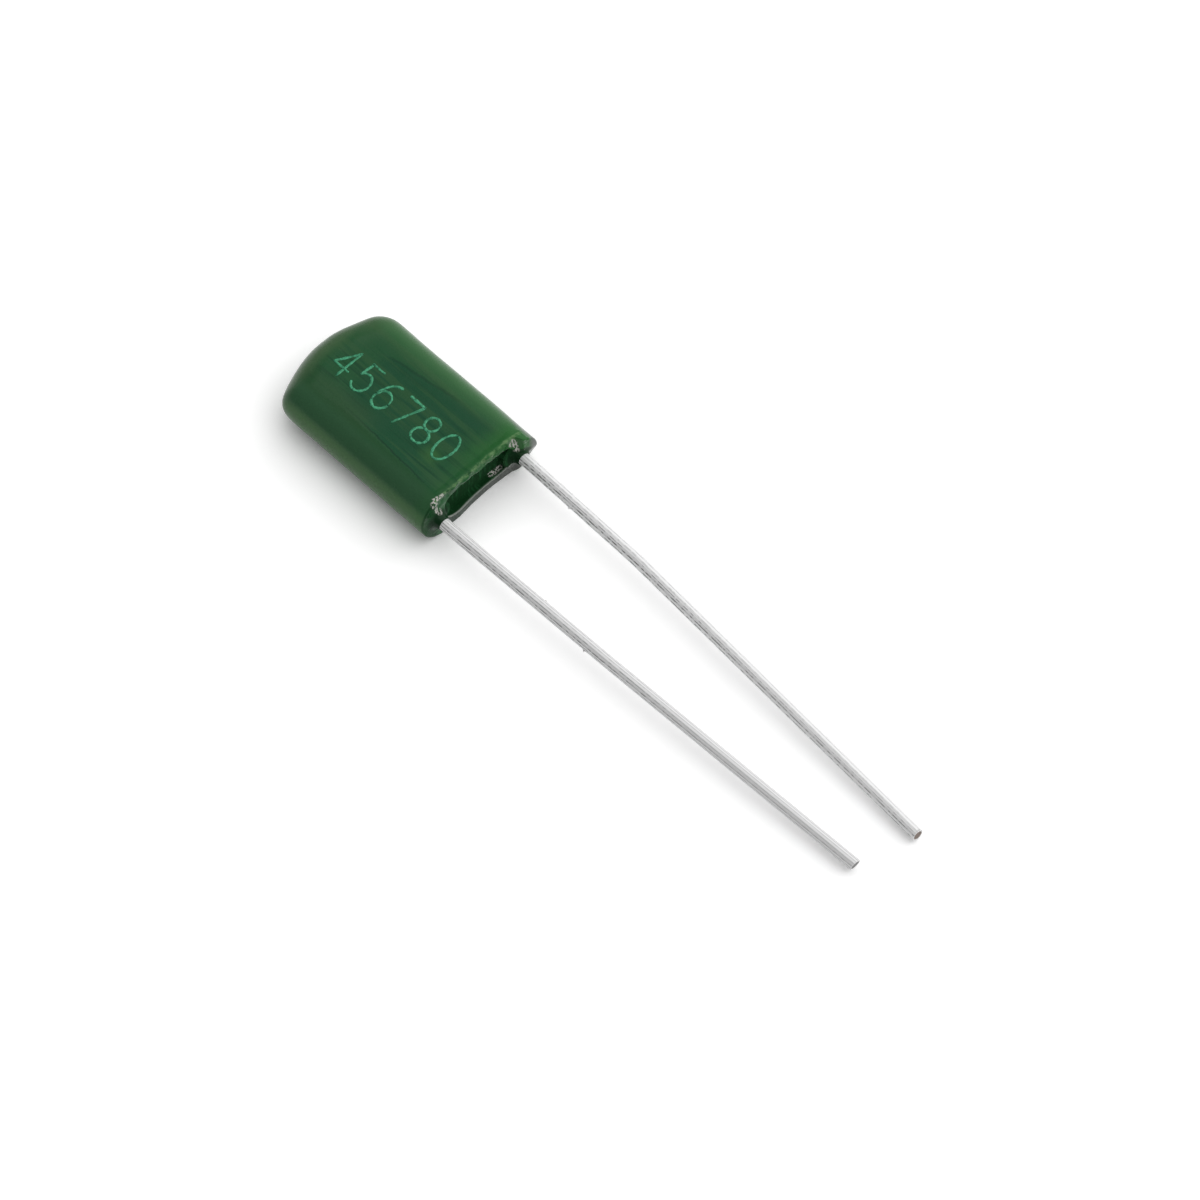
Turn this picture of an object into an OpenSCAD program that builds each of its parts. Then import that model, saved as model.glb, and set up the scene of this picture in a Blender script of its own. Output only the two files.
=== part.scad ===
// Dipped polyester film capacitor with two bare wire leads, lying on its flat side.
// X runs from the arched end of the body to the tips of the leads, Z is up, and the
// origin is under the middle of the whole part.

/* [Body] */
// Width of the coated body across the two leads
body_w = 5.7; // [5.2:0.1:7]
// Length of the coated body from the crown of the arched end to the lead end
body_l = 8.5; // [8:0.1:12]
// Thickness of the coated body, and the diameter of its full-round edges
body_t = 2.4; // [2.2:0.1:2.8]
// Plan radius of the arched end
arch_r = 5.6; // [4.6:0.1:6.4]

/* [Coat] */
// Thickness of the resin over the flats and the round sides of the winding
coat_t = 0.35; // [0.2:0.05:0.45]
// Thickness of the resin over the winding at the crown of the arched end
crown_t = 1.25; // [0.8:0.05:1.6]
// Thickness of the resin over the winding at the floor of the lead end's recess
seal_t = 0.25; // [0.15:0.05:0.5]
// Depth to which the lower lip is drawn in between the two leads
hollow_depth = 0.2; // [0.1:0.05:0.4]
// Depth of the recess between the lips, past the lower lip
recess_depth = 0.15; // [0.05:0.05:0.4]
// Thickness of the lips above and below the recess
lip_t = 0.3; // [0.15:0.05:0.5]
// Height to which the resin creeps along each lead
creep_h = 0.4; // [0.2:0.05:0.5]
// Thickness of the crept resin at its thin edge
creep_edge = 0.04; // [0.02:0.01:0.08]
// Flat land left between the crept resin and the recess
land = 0.06; // [0.03:0.01:0.12]

/* [Winding] */
// Spacing of the turns that show on the ends of the roll
turn_gap = 0.2; // [0.15:0.05:0.4]
// Width of the groove between those turns
groove_w = 0.05; // [0.02:0.01:0.08]
// Depth of the groove between those turns
groove_depth = 0.08; // [0.04:0.02:0.15]

/* [Leads] */
// Diameter of the wire
wire_d = 0.5; // [0.4:0.05:0.6]
// Distance from the middle of each wire to the side of the body where it leaves the body
lead_inset = 0.77; // [0.75:0.01:0.95]
// Width of the flattened end inside the winding
tab_w = 0.7; // [0.5:0.05:0.8]
// Thickness of the flattened end
tab_t = 0.28; // [0.15:0.01:0.4]
// Length of the flattened end
tab_l = 5; // [3:0.1:6]
// Straight run of the wire past the lead end, up to its first bend
exit_run = 1; // [0.9:0.1:2]
// Bend radius of the wire's middle line
bend_r = 12; // [6:1:20]

/* [Left lead] */
// Reach of the tip past the lead end
left_reach = 21.2; // [16:0.1:26]
// Distance of the second bend past the lead end
left_bend_x = 9; // [5:0.1:12]
// Drift of the wire towards the other lead at the second bend
left_bend_drift = 0.22; // [-0.2:0.01:0.4]
// Height of the wire's middle at the second bend
left_bend_z = 0.92; // [0.7:0.02:1.2]
// Drift of the tip towards the other lead
left_tip_drift = 0.8; // [-0.2:0.01:1]
// Gap under the tip
left_tip_gap = 0.15; // [0:0.05:0.6]

/* [Right lead] */
// Reach of the tip past the lead end
right_reach = 21.9; // [16:0.1:26]
// Distance of the second bend past the lead end
right_bend_x = 6.5; // [5:0.1:12]
// Drift of the wire towards the other lead at the second bend
right_bend_drift = 0.03; // [-0.2:0.01:0.4]
// Height of the wire's middle at the second bend
right_bend_z = 0.94; // [0.7:0.02:1.2]
// Drift of the tip towards the other lead
right_tip_drift = 0.88; // [-0.2:0.01:1]
// Gap under the tip
right_tip_gap = 0.1; // [0:0.05:0.6]

/* [Fit] */
// Bond line left between the coat, the winding and the leads
bond = 0.01; // [0.005:0.005:0.03]
// Overlap between the straight stretches and the bends of a wire
lap = 0.05; // [0.04:0.01:0.06]
// Step from a straight stretch of wire down to a bend
seam = 0.002; // [0.001:0.001:0.004]

/* [Hidden] */
$fn = 96;
// Facets round the edge of the coat
edge_facets = 48;

coat_colour = "#1d5a37";
film_colour = "#c9cdc2";
wire_colour = "#c4c5c4";

// Stations along the length
x_far = -(body_l + max(left_reach, right_reach)) / 2;
x_end = x_far + body_l;
x_recess = x_end - hollow_depth - recess_depth;
x_seat = x_recess - seal_t;
x_roll = x_far + crown_t;

// The full-round edge follows a middle line, straight at the sides and arched at the far end
edge_r = body_t / 2;
edge_y = body_w / 2 - edge_r;
spine_r = arch_r - edge_r;
arch_x = x_far + arch_r;
arch_half = asin(edge_y / spine_r);
corner_x = arch_x - spine_r * cos(arch_half);

// Winding: a flattened roll that fills the cavity of the coat
roll_w = body_w - 2 * coat_t;
roll_t = body_t - 2 * coat_t;

// Lead end
wire_r = wire_d / 2;
lead_y = body_w / 2 - lead_inset;
mid_z = body_t / 2;
creep_r = wire_r + creep_edge + creep_h;
hollow_half = lead_y - creep_r - land;
hollow_r = (hollow_half ^ 2 + hollow_depth ^ 2) / (2 * hollow_depth);
recess_h = body_t - 2 * lip_t;
recess_w = 2 * hollow_half;

// Middle line of each wire, from its seat at the winding to its tip
left_path = [
    [x_seat, -lead_y, mid_z],
    [x_end + exit_run, -lead_y, mid_z],
    [x_end + left_bend_x, left_bend_drift - lead_y, left_bend_z],
    [x_end + left_reach, left_tip_drift - lead_y, left_tip_gap + wire_r],
];
right_path = [
    [x_seat, lead_y, mid_z],
    [x_end + exit_run, lead_y, mid_z],
    [x_end + right_bend_x, lead_y - right_bend_drift, right_bend_z],
    [x_end + right_reach, lead_y - right_tip_drift, right_tip_gap + wire_r],
];

function unit(v) = v / norm(v);
function columns(x, y, z, at) = [
    [x[0], y[0], z[0], at[0]],
    [x[1], y[1], z[1], at[1]],
    [x[2], y[2], z[2], at[2]],
    [0, 0, 0, 1],
];
// Direction of a path's stretch, the turn at one of its points, and how much length the bend takes there
function heading(path, i) = unit(path[i + 1] - path[i]);
function is_bend(path, i) = i > 0 && i < len(path) - 1;
function turn(path, i) = acos(heading(path, i - 1) * heading(path, i));
function bend_reach(path, i) = is_bend(path, i) ? bend_r * tan(turn(path, i) / 2) : 0;

module half_disc(r) {
    intersection() {
        circle(r);
        translate([0, -r])
            square(2 * r);
    }
}

module stadium(w, t) {
    flat = w - t;
    square([flat, t], center = true);
    for (side = [0, 180])
        rotate(side)
            translate([flat / 2, 0])
                half_disc(t / 2);
}

// Bar of stadium section along X, at the middle of the body's thickness
module stadium_bar(from_x, to_x, w, t) {
    translate([from_x, 0, mid_z])
        rotate([90, 0, 90])
            linear_extrude(to_x - from_x)
                stadium(w, t);
}

// Slab with full-round edges, arched at the far end and square at the lead end
module dipped_slab() {
    hull() {
        translate([arch_x, 0, mid_z])
            rotate(180 - arch_half)
                rotate_extrude(angle = 2 * arch_half, $fn = edge_facets)
                    translate([spine_r, 0])
                        circle(edge_r);
        for (side = [-1, 1]) {
            translate([corner_x, side * edge_y, mid_z])
                rotate_extrude($fn = edge_facets)
                    half_disc(edge_r);
            translate([x_end, side * edge_y, mid_z])
                rotate([0, -90, 0])
                    cylinder(h = lap, r = edge_r, $fn = edge_facets);
        }
    }
}

// Concave ring of resin that has crept along a wire, standing on the lead end
module creep_ring() {
    rotate([0, 90, 0])
        rotate_extrude()
            difference() {
                square([creep_r, creep_h]);
                translate([creep_r, creep_h])
                    circle(creep_h);
            }
}

// Flattened end of a wire, with a round end inside the winding
module tab(y, grow) {
    half_w = tab_w / 2 + grow;
    translate([x_seat, y, mid_z - tab_t / 2 - grow])
        linear_extrude(tab_t + 2 * grow) {
            translate([half_w - tab_l - grow, -half_w])
                square([tab_l + grow - half_w, 2 * half_w]);
            translate([half_w - tab_l - grow, 0])
                rotate(180)
                    half_disc(half_w);
        }
}

// Round wire along a path, with an arc at each of its bends
module wire(path) {
    for (i = [0 : len(path) - 2]) {
        ahead = heading(path, i);
        start = path[i] + ahead * bend_reach(path, i);
        stop = path[i + 1] - ahead * bend_reach(path, i + 1);
        across = unit(cross([0, 0, 1], ahead));
        multmatrix(columns(across, cross(ahead, across), ahead, start))
            cylinder(h = norm(stop - start), r = wire_r);
        if (is_bend(path, i))
            bend(path[i], heading(path, i - 1), ahead, bend_reach(path, i), turn(path, i));
    }
}

// Arc of wire at a corner, lapped into the straight stretches before and after it
module bend(corner, before, ahead, reach, angle) {
    inward = unit(ahead - before * (before * ahead));
    centre = corner - before * reach + inward * bend_r;
    lap_angle = asin(lap / bend_r);
    multmatrix(columns(-inward, before, cross(before, inward), centre))
        rotate(-lap_angle)
            rotate_extrude(angle = angle + 2 * lap_angle)
                translate([bend_r, 0])
                    circle(wire_r - seam);
}

// Slab with a recess between the leads, the lip below it drawn in, and resin crept along each lead
module coat_body() {
    difference() {
        dipped_slab();
        translate([x_end - hollow_depth + hollow_r, 0, -lap])
            cylinder(h = mid_z + lap, r = hollow_r);
        stadium_bar(x_recess, x_end, recess_w, recess_h);
    }
    for (side = [-1, 1])
        translate([x_end, side * lead_y, mid_z])
            creep_ring();
}

module resin_coat() {
    color(coat_colour)
        difference() {
            coat_body();
            stadium_bar(x_roll - bond, x_seat, roll_w + 2 * bond, roll_t + 2 * bond);
            for (side = [-1, 1])
                translate([x_seat - bond, side * lead_y, mid_z])
                    rotate([0, 90, 0])
                        cylinder(h = x_end + exit_run - x_seat, r = wire_r + bond);
        }
}

// One groove between two turns, along the outline of the roll
module turn_groove(from_x, inset) {
    difference() {
        stadium_bar(from_x, from_x + groove_depth, roll_w - 2 * inset, roll_t - 2 * inset);
        stadium_bar(
            from_x - lap,
            from_x + groove_depth + lap,
            roll_w - 2 * (inset + groove_w),
            roll_t - 2 * (inset + groove_w)
        );
    }
}

module film_winding() {
    color(film_colour)
        difference() {
            stadium_bar(x_roll, x_seat - bond, roll_w, roll_t);
            for (inset = [turn_gap : turn_gap : roll_t / 2 - turn_gap]) {
                turn_groove(x_roll, inset);
                turn_groove(x_seat - bond - groove_depth, inset);
            }
            for (side = [-1, 1])
                tab(side * lead_y, bond);
        }
}

module left_lead() {
    color(wire_colour) {
        tab(-lead_y, 0);
        wire(left_path);
    }
}

module right_lead() {
    color(wire_colour) {
        tab(lead_y, 0);
        wire(right_path);
    }
}

resin_coat();
film_winding();
left_lead();
right_lead();
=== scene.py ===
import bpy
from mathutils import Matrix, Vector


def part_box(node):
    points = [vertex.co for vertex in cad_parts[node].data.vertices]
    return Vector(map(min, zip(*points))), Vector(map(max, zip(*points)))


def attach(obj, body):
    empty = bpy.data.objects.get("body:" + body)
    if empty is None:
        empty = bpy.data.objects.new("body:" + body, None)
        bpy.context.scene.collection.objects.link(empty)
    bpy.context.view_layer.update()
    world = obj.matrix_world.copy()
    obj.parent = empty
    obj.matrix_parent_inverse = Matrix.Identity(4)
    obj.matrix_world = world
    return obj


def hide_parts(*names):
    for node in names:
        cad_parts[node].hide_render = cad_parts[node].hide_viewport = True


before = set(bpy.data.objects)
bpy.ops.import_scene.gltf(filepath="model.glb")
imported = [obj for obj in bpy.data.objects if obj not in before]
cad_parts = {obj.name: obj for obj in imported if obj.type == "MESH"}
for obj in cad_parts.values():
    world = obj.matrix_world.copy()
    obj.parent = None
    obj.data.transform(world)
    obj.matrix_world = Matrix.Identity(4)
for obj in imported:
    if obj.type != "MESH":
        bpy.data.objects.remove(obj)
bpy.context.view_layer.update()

import math
from functools import reduce

import bpy
import numpy as np
from mathutils import Vector

# Everything below is in mm and degrees, and is scaled to metres as it goes into Blender
mm = 0.001


def boxInMm(node):
    return [np.array(corner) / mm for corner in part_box(node)]


def smoothStep(value, low, high):
    t = np.clip((value - low) / (high - low), 0, 1)
    return t * t * (3 - 2 * t)


def smoothMin(a, b, width):
    h = np.clip(0.5 + 0.5 * (b - a) / width, 0, 1)
    return b + (a - b) * h - width * h * (1 - h)


def smoothMax(a, b, width):
    return -smoothMin(-a, -b, width)


# Value noise from -1 to 1 on a seeded lattice, the same on every run
def latticeNoise(x, y, z, cell, seed, size=32):
    table = np.random.default_rng(seed).uniform(-1, 1, (size, size, size))
    cells = [np.floor(c / cell).astype(int) for c in (x, y, z)]
    parts = [c / cell - n for c, n in zip((x, y, z), cells)]
    parts = [t * t * (3 - 2 * t) for t in parts]
    total = 0
    for corner in range(8):
        steps = [corner >> axis & 1 for axis in range(3)]
        weight = 1
        for step, part in zip(steps, parts):
            weight = weight * (part if step else 1 - part)
        index = [(n + step) % size for n, step in zip(cells, steps)]
        total = total + weight * table[index[0], index[1], index[2]]
    return total


def addObject(name, data):
    item = bpy.data.objects.new(name, data)
    bpy.context.scene.collection.objects.link(item)
    return item


# Sets a camera or a lamp back from its aim, facing it
def setBack(item, direction, distance, aim=(0, 0, 0)):
    item.location = (Vector(aim) + direction * distance) * mm
    item.rotation_euler = (-direction).to_track_quat("-Z", "Y").to_euler()


def meshPiece(name, points, faces, material):
    mesh = bpy.data.meshes.new(name)
    mesh.from_pydata((np.asarray(points) * mm).tolist(), [], faces)
    mesh.validate()
    mesh.shade_smooth()
    mesh.materials.append(material)
    return addObject(name, mesh)


# Quads between rings of points that follow each other
def ringFaces(count, sides):
    faces = []
    for a in range(0, (count - 1) * sides, sides):
        for side in range(sides):
            after = (side + 1) % sides
            faces.append((a + side, a + after, a + sides + after, a + sides + side))
    return faces


# Node helpers
def addNode(tree, kind, inputs=None, **settings):
    node = tree.nodes.new(kind)
    for key, value in settings.items():
        setattr(node, key, value)
    for key, value in (inputs or {}).items():
        if isinstance(value, bpy.types.NodeSocket):
            tree.links.new(value, node.inputs[key])
        else:
            node.inputs[key].default_value = value
    return node


def newMaterial(name):
    material = bpy.data.materials.new(name)
    material.use_nodes = True
    material.node_tree.nodes.clear()
    return material, material.node_tree


def mathNode(tree, operation, a, b=0.0):
    return addNode(tree, "ShaderNodeMath", {0: a, 1: b}, operation=operation).outputs[0]


# Product, sum and largest of two or more values in one tree
def nodeSums(tree):
    def folded(operation):
        return lambda *values: reduce(lambda a, b: mathNode(tree, operation, a, b), values)

    return [folded(operation) for operation in ("MULTIPLY", "ADD", "MAXIMUM")]


def partsOf(tree, vector):
    return addNode(tree, "ShaderNodeSeparateXYZ", {0: vector}).outputs


def vectorMath(tree, operation, a, b):
    return addNode(tree, "ShaderNodeVectorMath", {0: a, 1: b}, operation=operation).outputs


# Eases from atLow, where the value is at low, to atHigh, where it is at high
def rampNode(tree, value, low, high, atLow=0.0, atHigh=1.0):
    inputs = {"Value": value, "From Min": low, "From Max": high, "To Min": atLow, "To Max": atHigh}
    node = addNode(tree, "ShaderNodeMapRange", inputs, interpolation_type="SMOOTHSTEP")
    return node.outputs["Result"]


def mixColour(tree, factor, a, b):
    node = addNode(tree, "ShaderNodeMix", {0: factor, 6: a, 7: b}, data_type="RGBA")
    return node.outputs[2]


def rgb(red, green, blue):
    return (red, green, blue, 1.0)


def grey(tone):
    return rgb(tone, tone, tone)


def noiseNode(tree, vector, scale, detail=2.0, roughness=0.5):
    inputs = {"Vector": vector, "Scale": scale, "Detail": detail, "Roughness": roughness}
    return addNode(tree, "ShaderNodeTexNoise", inputs).outputs["Fac"]


def objectInMm(tree, stretch=(1, 1, 1)):
    coords = addNode(tree, "ShaderNodeTexCoord").outputs["Object"]
    scale = [s / mm for s in stretch]
    return addNode(tree, "ShaderNodeMapping", {"Vector": coords, "Scale": scale}).outputs["Vector"]


def bumpNode(tree, height, strength, depth):
    inputs = {"Height": height, "Strength": strength, "Distance": depth * mm}
    return addNode(tree, "ShaderNodeBump", inputs).outputs["Normal"]


def finishWith(tree, inputs):
    shader = addNode(tree, "ShaderNodeBsdfPrincipled", inputs)
    addNode(tree, "ShaderNodeOutputMaterial", {"Surface": shader.outputs[0]})


# Camera: looks down on the part, with the leads running to the lower right
cameraSet = {
    "azimuth": 45.3,
    "elevation": 58.0,
    "distance": 300.0,
    "aim": (-0.338, 0.233, 0.0),
    "viewWidth": 44.94,
    "sensor": 36.0,
    "clip": (10.0, 20000.0),
}


def addCamera():
    a, e = (math.radians(cameraSet[key]) for key in ("azimuth", "elevation"))
    back = Vector((math.sin(a) * math.cos(e), -math.cos(a) * math.cos(e), math.sin(e)))
    data = bpy.data.cameras.new("partCamera")
    data.sensor_width = cameraSet["sensor"]
    data.lens = cameraSet["sensor"] * cameraSet["distance"] / cameraSet["viewWidth"]
    data.clip_start, data.clip_end = (reach * mm for reach in cameraSet["clip"])
    camera = addObject("partCamera", data)
    setBack(camera, back, cameraSet["distance"], cameraSet["aim"])
    bpy.context.scene.camera = camera


addCamera()
print("camera set")

# Resin coat: one closed skin round the winding, taken from a distance field. Lumps are a cell size
# and a seed, and spans are where a feature begins and where it is full
coatSet = {
    "archRadius": 5.6,
    "leadInset": 0.77,
    "wireRadius": 0.25,
    "creepHeight": 0.4,
    "creepEdge": 0.05,
    "creepBlend": 0.16,
    "creepRound": 0.03,
    "creepRoot": 0.3,
    "hollowDepth": 0.12,
    "hollowMiddle": 0.7,
    "hollowHalf": 1.6,
    "lipSpan": (0.1, 0.6),
    "recessDepth": 0.23,
    "recessWidth": 3.75,
    "recessThick": 1.6,
    "recessMiddle": 0.1,
    "recessLift": 0.06,
    "recessWander": 0.06,
    "recessEdge": (-0.02, 0.07),
    "recessSoften": 0.05,
    "endRound": 0.06,
    "flatBlend": 0.03,
    "wall": 0.36,
    "crownWall": 1.25,
    "sealWall": 0.25,
    "wireOverlap": 0.04,
    "holeRun": 0.1,
    "swell": 0.012,
    "swellLumps": ((1.7, 1), (0.7, 2)),
    "swellFine": 0.5,
    "ridge": 0.014,
    "ridgeTop": (0.5, 1.0),
    "ridgeStart": (6.3, 5.2),
    "ridgeStop": (0.5, 1.3),
    "ridgeAside": 1.62,
    "ridgeSlope": 0.066,
    "ridgeMiddle": 5.5,
    "ridgeHalf": 0.16,
    "bead": 0.035,
    "beadLumps": (0.22, 8),
    "beadLeast": 0.55,
    "beadSpan": (0.34, 0.12),
    "beadReach": 2.4,
    "ragged": 0.06,
    "raggedLeast": 0.1,
    "raggedLumps": ((0.31, 5), (0.14, 6)),
    "raggedFine": 0.4,
    "rimStart": 0.3,
    "rimDrop": 0.2,
    "endLift": 0.03,
    "rightEar": 0.31,
    "rightEarFoot": 0.3,
    "rightEarAcross": (1.85, 2.2),
    "rightEarHeight": (0.5, 1.4),
    "leftEar": 0.06,
    "leftEarAcross": (-1.55, -1.9),
    "leftEarHeight": (1.3, 0.7),
    "sideGrow": 0.035,
    "sideAcross": (1.2, 2.6),
    "crownGrow": 0.085,
    "crownLeast": 0.02,
    "crownAcross": (1.9, 0.3),
    "crownAlong": (1.6, 0.2),
    "cornerSharp": 0.65,
    "cornerBlend": 0.25,
    "margin": 0.15,
    "endReach": 0.75,
    "rootReach": 0.75,
    "middleReach": 0.7,
    # Grid steps along the body and in its cross-section, each with a finer one
    "bodySteps": (0.11, 0.03),
    "sideSteps": (0.054, 0.035),
}
coatLow, coatHigh = boxInMm("resin_coat")
halfThick = coatHigh[2] / 2
xFar = coatLow[0]
xEnd = coatHigh[0] - coatSet["creepHeight"]
leadY = coatHigh[1] - coatSet["leadInset"]
creepRadius = coatSet["wireRadius"] + coatSet["creepEdge"] + coatSet["creepHeight"]
xSeat = xEnd - coatSet["hollowDepth"] - coatSet["recessDepth"] - coatSet["sealWall"]


# Distance in plan from the middle line of the full-round edge, with a sharper corner past the left lead
def planDistance(x, y):
    edgeY = coatHigh[1] - halfThick
    spine = coatSet["archRadius"] - halfThick
    archX = xFar + coatSet["archRadius"]
    archHalf = math.asin(edgeY / spine)
    cornerX = archX - spine * math.cos(archHalf)
    sharp = np.where(y < 0, coatSet["cornerSharp"], 0.0)
    y = np.abs(y)
    inArch = x < cornerX
    inCorner = inArch & (np.arctan2(y, archX - x) > archHalf)
    side = np.where(inArch, np.hypot(archX - x, y) - spine, y - edgeY)
    outX, outY = np.maximum(cornerX - x, 0), np.maximum(y - edgeY, 0)
    reach = np.maximum(np.hypot(outX, outY), 1e-6)
    # Across the corner, measured square to its two sides
    square = outX * math.cos(archHalf) + outY * math.sin(archHalf)
    mitre = smoothMax(square, outY, coatSet["cornerBlend"] * reach)
    return np.where(inCorner, reach + sharp * (mitre - reach), side)


# Distance in a cross-section from a flat bar with round sides
def barDistance(y, z, width, thick):
    flat = (width - thick) / 2
    return np.hypot(np.maximum(np.abs(y) - flat, 0), z - halfThick) - thick / 2


# The lead end: a ragged upper rim, a recess under it, a lower lip that is drawn in, and an ear each side
def endFace(y, z):
    draw = 1 - ((y - coatSet["hollowMiddle"]) / coatSet["hollowHalf"]) ** 2
    lipTop, lipFull = coatSet["lipSpan"]
    lower = smoothStep(z, halfThick - lipTop, halfThick - lipFull)
    drawnIn = coatSet["hollowDepth"] * np.maximum(draw, 0) * lower
    lumps, crumbs = (latticeNoise(y, z, 0 * y, *noise) for noise in coatSet["raggedLumps"])
    rough = lumps + coatSet["raggedFine"] * crumbs
    upper = smoothStep(z, halfThick + coatSet["rimStart"], 2 * halfThick - coatSet["rimDrop"])
    fromMiddle = y - coatSet["recessMiddle"], z - coatSet["recessLift"]
    inRecess = -barDistance(*fromMiddle, coatSet["recessWidth"], coatSet["recessThick"])
    wander = coatSet["recessWander"] * lumps * upper
    edge, full = coatSet["recessEdge"]
    recess = smoothStep(inRecess + wander, edge, full + coatSet["recessSoften"] * upper)
    recess = (coatSet["hollowDepth"] + coatSet["recessDepth"]) * recess
    least = coatSet["raggedLeast"]
    ragged = coatSet["ragged"] * rough * (least + (1 - least) * upper)
    foot = coatSet["rightEarFoot"]
    rise = foot + (1 - foot) * smoothStep(z, *coatSet["rightEarHeight"])
    ears = coatSet["rightEar"] * smoothStep(y, *coatSet["rightEarAcross"]) * rise
    fall = smoothStep(z, *coatSet["leftEarHeight"])
    ears = ears + coatSet["leftEar"] * smoothStep(y, *coatSet["leftEarAcross"]) * fall
    return xEnd + coatSet["endLift"] + ears - np.maximum(drawnIn, recess) + ragged


# 0 to 1 along the body, between two distances from the lead end
def alongBody(x, start, full):
    return smoothStep(x, xEnd - start, xEnd - full)


# Low ridge where the edge of the winding shows through, and a broken bead along the upper rim
def topRelief(x, y, z):
    low, high = coatSet["ridgeTop"]
    top = smoothStep(z, halfThick + low, halfThick + high)
    along = alongBody(x, *coatSet["ridgeStart"]) * alongBody(x, *coatSet["ridgeStop"])
    off = y + coatSet["ridgeAside"] + coatSet["ridgeSlope"] * (x - xEnd + coatSet["ridgeMiddle"])
    ridge = coatSet["ridge"] * along * np.exp(-((off / coatSet["ridgeHalf"]) ** 2))
    least = coatSet["beadLeast"]
    broken = least + (1 - least) * latticeNoise(x, y, z, *coatSet["beadLumps"])
    reach = np.abs(y) < coatSet["beadReach"]
    bead = coatSet["bead"] * broken * alongBody(x, *coatSet["beadSpan"]) * reach
    return top * (ridge + bead)


def coatField(x, y, z):
    broad, fine = (latticeNoise(x, y, z, *noise) for noise in coatSet["swellLumps"])
    swell = broad + coatSet["swellFine"] * fine
    skin = np.hypot(np.maximum(planDistance(x, y), 0), z - halfThick) - halfThick
    crown = coatSet["crownLeast"] + coatSet["crownGrow"] * smoothStep(np.abs(y), *coatSet["crownAcross"])
    start, full = coatSet["crownAlong"]
    crown = crown * smoothStep(x, xFar + start, xFar + full)
    grow = crown + coatSet["sideGrow"] * smoothStep(y, *coatSet["sideAcross"])
    skin = skin + coatSet["swell"] * (swell - 1) - grow - topRelief(x, y, z)
    body = smoothMax(skin, x - endFace(y, z), coatSet["endRound"])
    body = smoothMax(body, -z, coatSet["flatBlend"])
    creep = coatSet["creepHeight"]
    rise = np.clip((x - xEnd) / creep, 0, 1)
    ringRadius = creepRadius - creep * np.sqrt(1 - (1 - rise) ** 2)
    for side in (-1, 1):
        reach = np.hypot(y - side * leadY, z - halfThick)
        ring = smoothMax(reach - ringRadius, x - xEnd - creep, coatSet["creepRound"])
        ring = np.maximum(ring, xEnd - coatSet["creepRoot"] - x)
        body = smoothMin(body, ring, coatSet["creepBlend"])
    width = 2 * (coatHigh[1] - coatSet["wall"])
    thick = 2 * (halfThick - coatSet["wall"])
    cavity = np.maximum(barDistance(y, z, width, thick), xFar + coatSet["crownWall"] - x)
    cavity = np.maximum(cavity, x - xSeat)
    holeRadius = coatSet["wireRadius"] - coatSet["wireOverlap"]
    for side in (-1, 1):
        hole = np.hypot(y - side * leadY, z - halfThick) - holeRadius
        cavity = np.minimum(cavity, np.maximum(hole, xSeat - coatSet["holeRun"] - x))
    return np.maximum(body, -cavity)


# Grid lines that stand closer together inside the given spans
def gridLines(low, high, spans, step, fineStep):
    lines = [low]
    while lines[-1] < high:
        fine = any(a <= lines[-1] < b for a, b in spans)
        lines.append(lines[-1] + (fineStep if fine else step))
    return np.array(lines)


# Index of a part of a grid: some axes have a slice of their own, and the rest share one
def gridPart(own, rest=slice(None)):
    return tuple(own.get(axis, rest) for axis in range(3))


# Corners of a grid face, in order round it
faceCorners = ((0, 0), (1, 0), (1, 1), (0, 1))


# Fills each grid face where just two opposite corners lie inside, so that no edge is shared by four quads
def fillSaddles(value, tiny=1e-6):
    found = True
    while found:
        found = False
        for first, second in ((0, 1), (0, 2), (1, 2)):
            picks = []
            for steps in faceCorners:
                pairs = zip((first, second), steps)
                picks.append(gridPart({k: slice(s, value.shape[k] - 1 + s) for k, s in pairs}))
            a, b, c, d = (value[pick] < 0 for pick in picks)
            saddle = (a == c) & (b == d) & (a != b)
            found = found or saddle.any()
            for pick in picks:
                value[pick] = np.where(saddle & (value[pick] >= 0), -tiny, value[pick])
    return value


# One point in each grid cell that the surface crosses, and a quad round each crossed grid line
def surfaceOf(field, lines):
    grid = np.meshgrid(*lines, indexing="ij")
    value = fillSaddles(field(*grid))
    inside = value < 0
    shape = [len(line) - 1 for line in lines]
    total = np.zeros(shape + [3])
    count = np.zeros(shape)
    for axis in range(3):
        lower, upper = (gridPart({axis: part}) for part in (slice(None, -1), slice(1, None)))
        crossed = inside[lower] != inside[upper]
        gap = value[lower] - value[upper]
        share = np.where(crossed, value[lower] / np.where(gap == 0, 1, gap), 0)
        point = np.stack([g[lower] for g in grid], -1)
        point[..., axis] += share * (grid[axis][upper] - grid[axis][lower])
        others = [k for k in range(3) if k != axis]
        for steps in ((0, 0), (0, 1), (1, 0), (1, 1)):
            pick = gridPart({k: slice(s, shape[k] + s) for k, s in zip(others, steps)})
            total += np.where(crossed[pick][..., None], point[pick], 0)
            count += crossed[pick]
    used = count > 0
    number = np.full(shape, -1)
    number[used] = np.arange(used.sum())
    points = total[used] / count[used][:, None]
    faces = []
    for axis in range(3):
        others = [(axis + 1) % 3, (axis + 2) % 3]
        first, second = (
            inside[gridPart({axis: part}, slice(1, -1))] for part in (slice(None, -1), slice(1, None))
        )
        crossed = np.argwhere(first != second)
        outward = first[tuple(crossed.T)]
        cell = crossed + 1
        cell[:, axis] -= 1
        ring = []
        for steps in faceCorners:
            corner = cell.copy()
            corner[:, others] -= steps
            ring.append(number[tuple(corner.T)])
        quads = np.stack(ring, -1)
        quads[~outward] = quads[~outward][:, ::-1]
        faces += quads.tolist()
    return points, faces


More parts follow.
